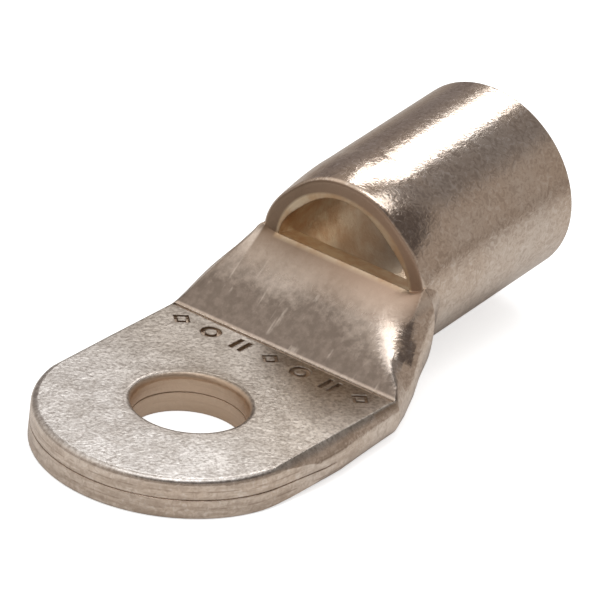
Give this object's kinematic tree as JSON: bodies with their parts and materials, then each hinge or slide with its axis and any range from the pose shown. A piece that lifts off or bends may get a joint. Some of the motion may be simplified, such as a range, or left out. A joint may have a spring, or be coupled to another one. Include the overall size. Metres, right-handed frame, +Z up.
{
  "type": "cable lug",
  "caption": "Tube terminal for a stranded cable: a round barrel with an inspection window at its neck, pressed flat into a palm with a stud hole.",
  "frame": {"origin": "centre of the stud hole on the palm's underside", "axes": "+X along the palm towards the barrel's mouth, +Z up from the palm's underside along the stud"},
  "size_m": [0.0479, 0.022, 0.0164],
  "materials": {
    "tinned_copper": "bright tin plating over copper, warm grey, satin"
  },
  "bodies": {
    "root": {"cable_lug": "tinned_copper"}
  },
  "joints": []
}
